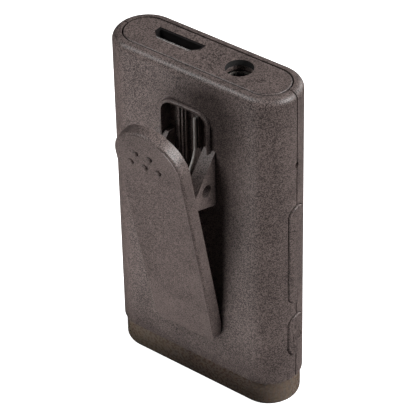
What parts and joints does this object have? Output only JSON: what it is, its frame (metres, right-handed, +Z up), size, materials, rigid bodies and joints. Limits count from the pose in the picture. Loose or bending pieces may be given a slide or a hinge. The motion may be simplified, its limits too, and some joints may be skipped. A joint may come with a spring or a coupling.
{
  "type": "wireless bodypack transmitter",
  "caption": "Slim round-ended clip-on wireless bodypack with a sprung belt clip, side volume rocker and power key, headset jack, data port and a smoked light cap.",
  "frame": {"origin": "centre of the flat base under the light cap, on the surface the pack stands on", "axes": "+Z up the long side to the connector panel, -Y out of the clip face, +X to the side with the keys"},
  "size_m": [0.0404, 0.0254, 0.0711],
  "materials": {
    "shell": "fine spark texture, warm dark grey",
    "panel": "fine spark texture, warm dark grey",
    "clip": "fine spark texture, warm dark grey",
    "keys": "fine spark texture, warm dark grey",
    "smoked_cap": "smoked brown translucent",
    "guide": "frosted light guide",
    "steel": "zinc plated",
    "spring_steel": "polished wire",
    "plated": "tin plated",
    "board": "solder mask",
    "chip": "moulded package",
    "lamp": "clear lens",
    "cell": "foil pouch",
    "foam": "adhesive foam",
    "lead": "insulated wire",
    "connector": "natural nylon",
    "insulator": "black moulding",
    "gold": "gold plated",
    "frame_plastic": "moulded",
    "boot": "silicone",
    "plunger": "moulded"
  },
  "bodies": {
    "housing": {"rear_shell": "shell", "front_shell": "shell", "top_panel": "panel", "light_cap": "smoked_cap", "light_guide": "guide", "clip_bracket": "clip", "bracket_screws": "steel", "case_screws": "steel", "board_screws": "steel", "main_board": "board", "radio_shield": "plated", "processor_chip": "chip", "audio_chip": "chip", "charger_chip": "chip", "clock_crystal": "plated", "status_lights": "lamp", "battery_cell": "cell", "battery_pad": "foam", "battery_board": "board", "battery_leads": "lead", "battery_plug": "connector", "data_port_shell": "plated", "data_port_tongue": "insulator", "data_port_contacts": "gold", "audio_jack": "insulator", "jack_contacts": "gold", "jack_ring": "plated", "key_frame": "frame_plastic", "key_board": "board", "key_switches": "connector", "rocker_pin": "steel", "microphone": "plated", "microphone_boot": "boot", "antenna_carrier": "frame_plastic", "antenna_strip": "gold", "clip_pin": "steel", "clip_spring": "spring_steel"},
    "lever": {"clip_lever": "clip"},
    "rocker": {"volume_rocker": "keys"},
    "power_key": {"power_button": "keys"},
    "up_plunger": {"volume_up_plunger": "plunger"},
    "down_plunger": {"volume_down_plunger": "plunger"},
    "power_stem": {"power_plunger": "plunger"}
  },
  "joints": [
    {"name": "clip_hinge", "type": "hinge", "parent": "housing", "child": "lever", "pos_m": [0, -0.00918, 0.04909], "axis": [-1, 0, 0], "range_deg": [0, 22], "stiffness_Nm_per_rad": 0.3, "springref_deg": -28.65, "deforming": ["clip_spring"]},
    {"name": "volume_rock", "type": "hinge", "parent": "housing", "child": "rocker", "pos_m": [0.0156, 0, 0.03515], "axis": [0, 1, 0], "range_deg": [-1.4, 1.4], "stiffness_Nm_per_rad": 0.5},
    {"name": "power_press", "type": "slide", "parent": "housing", "child": "power_key", "axis": [-1, 0, 0], "range_m": [0, 0.0003], "stiffness_N_per_m": 2000, "springref_m": -0.0002},
    {"name": "up_plunger_slide", "type": "slide", "parent": "housing", "child": "up_plunger", "axis": [-1, 0, 0], "range_m": [-0.0002, 0.0002]},
    {"name": "down_plunger_slide", "type": "slide", "parent": "housing", "child": "down_plunger", "axis": [-1, 0, 0], "range_m": [-0.0002, 0.0002]},
    {"name": "power_stem_slide", "type": "slide", "parent": "housing", "child": "power_stem", "axis": [-1, 0, 0], "range_m": [0, 0.0003]}
  ],
  "couplings": [
    {"joint": "up_plunger_slide", "follows": "volume_rock", "m_per_rad": 0.008},
    {"joint": "down_plunger_slide", "follows": "volume_rock", "m_per_rad": -0.008},
    {"joint": "power_stem_slide", "follows": "power_press", "ratio": 1}
  ]
}
